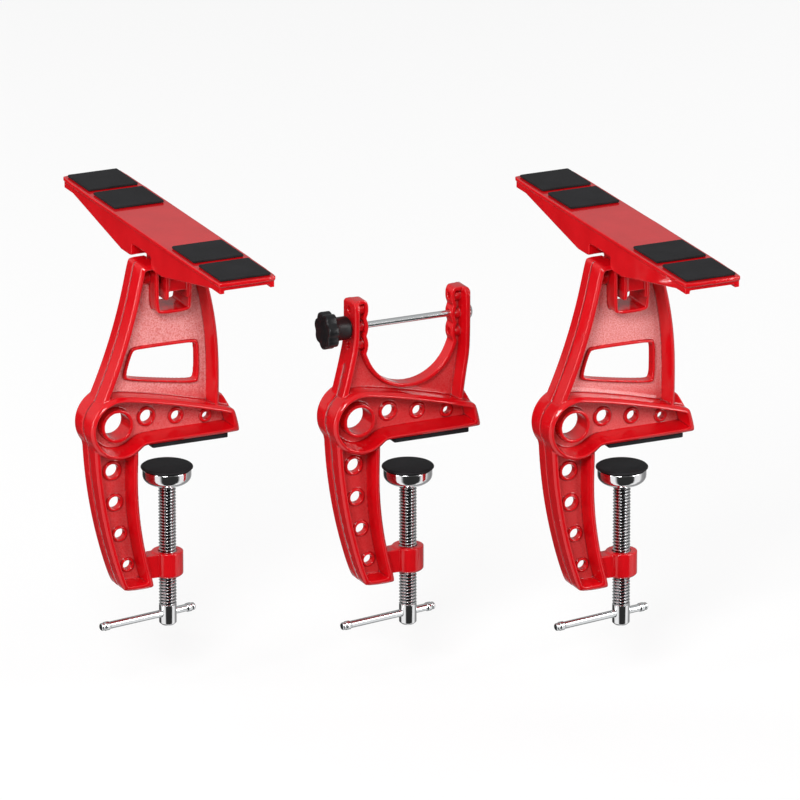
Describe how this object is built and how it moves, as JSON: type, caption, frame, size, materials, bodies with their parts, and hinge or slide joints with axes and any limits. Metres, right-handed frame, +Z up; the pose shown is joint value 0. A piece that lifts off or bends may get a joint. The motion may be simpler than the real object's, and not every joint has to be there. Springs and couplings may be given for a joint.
{
  "type": "ski waxing profile",
  "caption": "Set of cast bench clamps that hold a ski for waxing: padded rocking tables for its ends and a yoke with a knob-tightened rod for its binding.",
  "frame": {"origin": "underside of the middle clamp's jaw pad, on the axis of its clamp screw, where the bench top touches it", "axes": "+Z up; +X from the clamps' heels towards the open tips of their jaws, along the ski's width; +Y along the ski, away from the camera"},
  "size_m": [0.5305, 0.5383, 0.3938],
  "materials": {
    "red_enamel": "glossy red powder coat on a sand-cast surface, softly uneven and worn a little along the edges",
    "black_rubber": "matt black rubber with a fine grain",
    "black_plastic": "moulded black plastic, satin",
    "bright_steel": "zinc-bright plated steel with turning marks",
    "plain_steel": "plain steel, satin"
  },
  "bodies": {
    "frames": {"left_frame": "red_enamel", "left_jaw_pad": "black_rubber", "left_pivot_pin": "plain_steel", "left_spacer_bush": "plain_steel", "centre_frame": "red_enamel", "centre_jaw_pad": "black_rubber", "right_frame": "red_enamel", "right_jaw_pad": "black_rubber", "right_pivot_pin": "plain_steel", "right_spacer_bush": "plain_steel"},
    "left_table": {"left_platform": "red_enamel", "left_pad_1": "black_rubber", "left_pad_2": "black_rubber", "left_pad_3": "black_rubber", "left_pad_4": "black_rubber"},
    "left_foot": {"left_swivel_cup": "bright_steel", "left_rubber_disc": "black_rubber"},
    "left_screw": {"left_spindle": "bright_steel"},
    "left_bar": {"left_t_bar": "bright_steel"},
    "centre_foot": {"centre_swivel_cup": "bright_steel", "centre_rubber_disc": "black_rubber"},
    "centre_screw": {"centre_spindle": "bright_steel"},
    "centre_bar": {"centre_t_bar": "bright_steel"},
    "centre_rod": {"centre_clamp_rod": "bright_steel", "centre_domed_nut": "bright_steel"},
    "centre_washer": {"centre_knob_washer": "plain_steel"},
    "centre_knob": {"centre_star_knob": "black_plastic"},
    "right_table": {"right_platform": "red_enamel", "right_pad_1": "black_rubber", "right_pad_2": "black_rubber", "right_pad_3": "black_rubber", "right_pad_4": "black_rubber"},
    "right_foot": {"right_swivel_cup": "bright_steel", "right_rubber_disc": "black_rubber"},
    "right_screw": {"right_spindle": "bright_steel"},
    "right_bar": {"right_t_bar": "bright_steel"}
  },
  "joints": [
    {"name": "left_table_rock", "type": "hinge", "parent": "frames", "child": "left_table", "pos_m": [-0.2081, 0.0794, 0.16], "axis": [1, 0, 0], "range_deg": [-8, 8]},
    {"name": "right_table_rock", "type": "hinge", "parent": "frames", "child": "right_table", "pos_m": [0.1726, -0.0969, 0.16], "axis": [1, 0, 0], "range_deg": [-8, 8]},
    {"name": "left_screw_travel", "type": "slide", "parent": "frames", "child": "left_foot", "axis": [0, 0, 1], "range_m": [-0.0601, 0.0241]},
    {"name": "left_screw_turn", "type": "hinge", "parent": "left_foot", "child": "left_screw", "pos_m": [-0.2081, 0.0794, -0.1], "axis": [0, 0, 1], "range_deg": [-7200, 2880]},
    {"name": "left_bar_slide", "type": "slide", "parent": "left_screw", "child": "left_bar", "axis": [0.9849, 0.1731, 0], "range_m": [-0.0116, 0.0567]},
    {"name": "centre_screw_travel", "type": "slide", "parent": "frames", "child": "centre_foot", "axis": [0, 0, 1], "range_m": [-0.0561, 0.0281]},
    {"name": "centre_screw_turn", "type": "hinge", "parent": "centre_foot", "child": "centre_screw", "pos_m": [0, 0, -0.1], "axis": [0, 0, 1], "range_deg": [-6720, 3360]},
    {"name": "centre_bar_slide", "type": "slide", "parent": "centre_screw", "child": "centre_bar", "axis": [0.9849, 0.1731, 0], "range_m": [-0.0116, 0.0567]},
    {"name": "right_screw_travel", "type": "slide", "parent": "frames", "child": "right_foot", "axis": [0, 0, 1], "range_m": [-0.0601, 0.0241]},
    {"name": "right_screw_turn", "type": "hinge", "parent": "right_foot", "child": "right_screw", "pos_m": [0.1726, -0.0969, -0.1], "axis": [0, 0, 1], "range_deg": [-7200, 2880]},
    {"name": "right_bar_slide", "type": "slide", "parent": "right_screw", "child": "right_bar", "axis": [0.9849, 0.1731, 0], "range_m": [-0.0116, 0.0567]},
    {"name": "rod_pull", "type": "slide", "parent": "frames", "child": "centre_rod", "axis": [1, 0, 0], "range_m": [0, 0.12]},
    {"name": "knob_travel", "type": "slide", "parent": "frames", "child": "centre_washer", "axis": [1, 0, 0], "range_m": [-0.0201, 0]},
    {"name": "knob_turn", "type": "hinge", "parent": "centre_washer", "child": "centre_knob", "pos_m": [-0.07, 0, 0.112], "axis": [1, 0, 0], "range_deg": [-7200, 0]}
  ],
  "couplings": [
    {"joint": "left_screw_travel", "follows": "left_screw_turn", "m_per_rad": 0.00047746},
    {"joint": "centre_screw_travel", "follows": "centre_screw_turn", "m_per_rad": 0.00047746},
    {"joint": "right_screw_travel", "follows": "right_screw_turn", "m_per_rad": 0.00047746},
    {"joint": "knob_travel", "follows": "knob_turn", "m_per_rad": 0.00015915}
  ]
}
